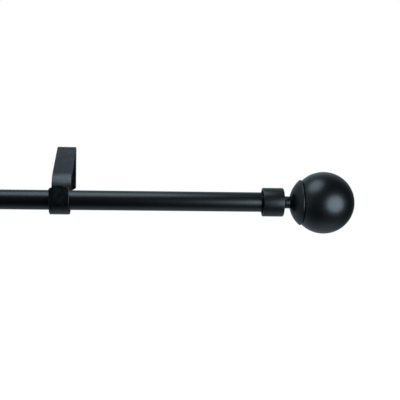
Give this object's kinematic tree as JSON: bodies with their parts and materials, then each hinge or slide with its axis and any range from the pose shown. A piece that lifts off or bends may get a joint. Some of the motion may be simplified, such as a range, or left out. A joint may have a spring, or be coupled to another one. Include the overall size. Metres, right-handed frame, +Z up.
{
  "type": "curtain rod",
  "caption": "Telescoping curtain rod with ball finials, resting in open strip brackets that screw to a wall.",
  "frame": {"origin": "middle of the right bracket's back face, where it meets the wall", "axes": "+X along the rod towards the right finial, +Y into the wall, +Z up"},
  "size_m": [1.0585, 0.0889, 0.0708],
  "materials": {
    "satin_black": "satin black powder coat on steel",
    "nylon": "black moulded nylon",
    "zinc_steel": "zinc-plated steel thread",
    "brass": "turned brass insert",
    "ball_black": "satin black paint on a solid resin ball"
  },
  "bodies": {
    "wall_brackets": {"right_bracket_strip": "satin_black", "right_lock_nut": "satin_black", "left_bracket_strip": "satin_black", "left_lock_nut": "satin_black"},
    "outer_rod": {"outer_tube": "satin_black", "outer_tube_mouth_bush": "nylon", "left_end_plug": "nylon", "left_hook_sleeve": "nylon", "right_hook_sleeve": "nylon"},
    "inner_rod": {"inner_tube": "satin_black", "inner_tube_glide": "nylon", "right_end_plug": "nylon"},
    "right_collar_cap": {"right_collar": "satin_black"},
    "right_finial": {"right_finial_neck": "satin_black", "right_finial_dome": "satin_black", "right_finial_ball": "ball_black", "right_ball_insert": "brass", "right_finial_stud": "zinc_steel"},
    "right_lock_tip": {"right_lock_pad": "nylon"},
    "right_lock_thumb": {"right_lock_screw": "zinc_steel", "right_lock_knob": "satin_black"},
    "left_collar_cap": {"left_collar": "satin_black"},
    "left_finial": {"left_finial_neck": "satin_black", "left_finial_dome": "satin_black", "left_finial_ball": "ball_black", "left_ball_insert": "brass", "left_finial_stud": "zinc_steel"},
    "left_lock_tip": {"left_lock_pad": "nylon"},
    "left_lock_thumb": {"left_lock_screw": "zinc_steel", "left_lock_knob": "satin_black"}
  },
  "joints": [
    {"name": "rod_lift", "type": "slide", "parent": "wall_brackets", "child": "outer_rod", "axis": [0, 0, 1], "range_m": [0, 0.035]},
    {"name": "telescope", "type": "slide", "parent": "outer_rod", "child": "inner_rod", "axis": [1, 0, 0], "range_m": [-0.13, 0.2]},
    {"name": "right_finial_travel", "type": "slide", "parent": "inner_rod", "child": "right_collar_cap", "axis": [1, 0, 0], "range_m": [0, 0.01]},
    {"name": "right_finial_turn", "type": "hinge", "parent": "right_collar_cap", "child": "right_finial", "pos_m": [0.1775, -0.0635, -0.026], "axis": [1, 0, 0], "range_deg": [0, 3600]},
    {"name": "right_lock_travel", "type": "slide", "parent": "wall_brackets", "child": "right_lock_tip", "axis": [0, 1, 0], "range_m": [0, 0.0024]},
    {"name": "right_lock_turn", "type": "hinge", "parent": "right_lock_tip", "child": "right_lock_thumb", "pos_m": [0, -0.0435, -0.0245], "axis": [0, 1, 0], "range_deg": [0, 1080]},
    {"name": "left_finial_travel", "type": "slide", "parent": "outer_rod", "child": "left_collar_cap", "axis": [-1, 0, 0], "range_m": [0, 0.01]},
    {"name": "left_finial_turn", "type": "hinge", "parent": "left_collar_cap", "child": "left_finial", "pos_m": [-0.755, -0.0635, -0.026], "axis": [-1, 0, 0], "range_deg": [0, 3600]},
    {"name": "left_lock_travel", "type": "slide", "parent": "wall_brackets", "child": "left_lock_tip", "axis": [0, 1, 0], "range_m": [0, 0.0024]},
    {"name": "left_lock_turn", "type": "hinge", "parent": "left_lock_tip", "child": "left_lock_thumb", "pos_m": [-0.5775, -0.0435, -0.0245], "axis": [0, 1, 0], "range_deg": [0, 1080]}
  ],
  "couplings": [
    {"joint": "right_finial_travel", "follows": "right_finial_turn", "m_per_rad": 0.00015915},
    {"joint": "right_lock_travel", "follows": "right_lock_turn", "m_per_rad": 0.00012732},
    {"joint": "left_finial_travel", "follows": "left_finial_turn", "m_per_rad": 0.00015915},
    {"joint": "left_lock_travel", "follows": "left_lock_turn", "m_per_rad": 0.00012732}
  ]
}
